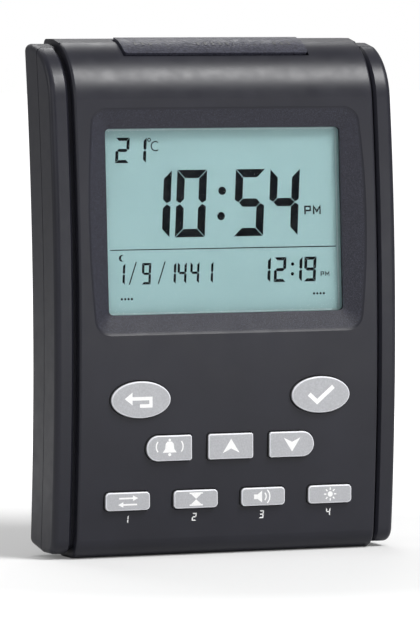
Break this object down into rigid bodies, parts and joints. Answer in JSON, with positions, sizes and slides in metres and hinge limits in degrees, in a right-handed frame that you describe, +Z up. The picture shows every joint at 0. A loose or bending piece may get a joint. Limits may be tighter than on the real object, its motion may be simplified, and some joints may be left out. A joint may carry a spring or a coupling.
{
  "type": "azan clock",
  "caption": "Upright bowed desk alarm clock with a recessed liquid crystal display, silver keys and a press bar over its top edge, standing on its battery hump.",
  "frame": {"origin": "on the table, under the middle of the bounding box", "axes": "+Z up, the front with the display faces -Y, +X to the right seen from the front"},
  "size_m": [0.093, 0.0304, 0.1307],
  "materials": {
    "case_plastic": "satin moulded",
    "bar_plastic": "fine leather grain",
    "key_plastic": "satin silver paint",
    "clear_window": "polished",
    "display": "smooth",
    "dark_plastic": "matte",
    "white_plastic": "matte",
    "silicone": "matte",
    "circuit_board": "satin",
    "resin": "smooth",
    "steel": "satin",
    "dark_steel": "blackened",
    "clear_film": "smooth film",
    "cell_wrap": "printed wrap",
    "rubber_pad": "matte"
  },
  "bodies": {
    "case": {"battery_cells": "cell_wrap", "board_link": "white_plastic", "board_screws": "steel", "capacitors": "dark_plastic", "case_screws": "dark_steel", "clock_chip": "resin", "contact_strips": "silicone", "crystal": "steel", "display_window": "clear_window", "foot_pads": "rubber_pad", "front_case": "case_plastic", "front_panel": "case_plastic", "key_board": "circuit_board", "key_board_screws": "steel", "key_mat": "silicone", "lcd_glass": "display", "lcd_holder": "dark_plastic", "light_guide": "white_plastic", "light_leds": "white_plastic", "main_board": "circuit_board", "negative_contacts": "steel", "positive_contacts": "steel", "rear_cover": "case_plastic", "snooze_switch": "dark_plastic", "speaker_cone": "clear_film", "speaker_frame": "dark_plastic", "speaker_magnet": "steel", "thermistor": "resin"},
    "exit_key": {"exit_key": "key_plastic"},
    "set_key": {"set_key": "key_plastic"},
    "alarm_key": {"alarm_key": "key_plastic"},
    "up_key": {"up_key": "key_plastic"},
    "down_key": {"down_key": "key_plastic"},
    "convert_key": {"convert_key": "key_plastic"},
    "delay_key": {"delay_key": "key_plastic"},
    "sound_key": {"sound_key": "key_plastic"},
    "call_key": {"call_key": "key_plastic"},
    "snooze_bar": {"snooze_bar": "bar_plastic"},
    "battery_door": {"battery_door": "case_plastic"}
  },
  "joints": [
    {"name": "exit_key_press", "type": "slide", "parent": "case", "child": "exit_key", "axis": [0, 1, 0], "range_m": [0, 0.0008], "stiffness_N_per_m": 900, "springref_m": -0.0003, "deforming": ["key_mat"]},
    {"name": "set_key_press", "type": "slide", "parent": "case", "child": "set_key", "axis": [0, 1, 0], "range_m": [0, 0.0008], "stiffness_N_per_m": 900, "springref_m": -0.0003, "deforming": ["key_mat"]},
    {"name": "alarm_key_press", "type": "slide", "parent": "case", "child": "alarm_key", "axis": [0, 1, 0], "range_m": [0, 0.0008], "stiffness_N_per_m": 900, "springref_m": -0.0003, "deforming": ["key_mat"]},
    {"name": "up_key_press", "type": "slide", "parent": "case", "child": "up_key", "axis": [0, 1, 0], "range_m": [0, 0.0008], "stiffness_N_per_m": 900, "springref_m": -0.0003, "deforming": ["key_mat"]},
    {"name": "down_key_press", "type": "slide", "parent": "case", "child": "down_key", "axis": [0, 1, 0], "range_m": [0, 0.0008], "stiffness_N_per_m": 900, "springref_m": -0.0003, "deforming": ["key_mat"]},
    {"name": "convert_key_press", "type": "slide", "parent": "case", "child": "convert_key", "axis": [0, 1, 0], "range_m": [0, 0.0008], "stiffness_N_per_m": 900, "springref_m": -0.0003, "deforming": ["key_mat"]},
    {"name": "delay_key_press", "type": "slide", "parent": "case", "child": "delay_key", "axis": [0, 1, 0], "range_m": [0, 0.0008], "stiffness_N_per_m": 900, "springref_m": -0.0003, "deforming": ["key_mat"]},
    {"name": "sound_key_press", "type": "slide", "parent": "case", "child": "sound_key", "axis": [0, 1, 0], "range_m": [0, 0.0008], "stiffness_N_per_m": 900, "springref_m": -0.0003, "deforming": ["key_mat"]},
    {"name": "call_key_press", "type": "slide", "parent": "case", "child": "call_key", "axis": [0, 1, 0], "range_m": [0, 0.0008], "stiffness_N_per_m": 900, "springref_m": -0.0003, "deforming": ["key_mat"]},
    {"name": "snooze_press", "type": "slide", "parent": "case", "child": "snooze_bar", "axis": [0, 0.4226, -0.9063], "range_m": [0, 0.0008], "stiffness_N_per_m": 1200, "springref_m": -0.0003},
    {"name": "battery_door_hinge", "type": "hinge", "parent": "case", "child": "battery_door", "pos_m": [0, 0.01441, 0.00545], "axis": [-1, 0, 0], "range_deg": [0, 85]}
  ]
}
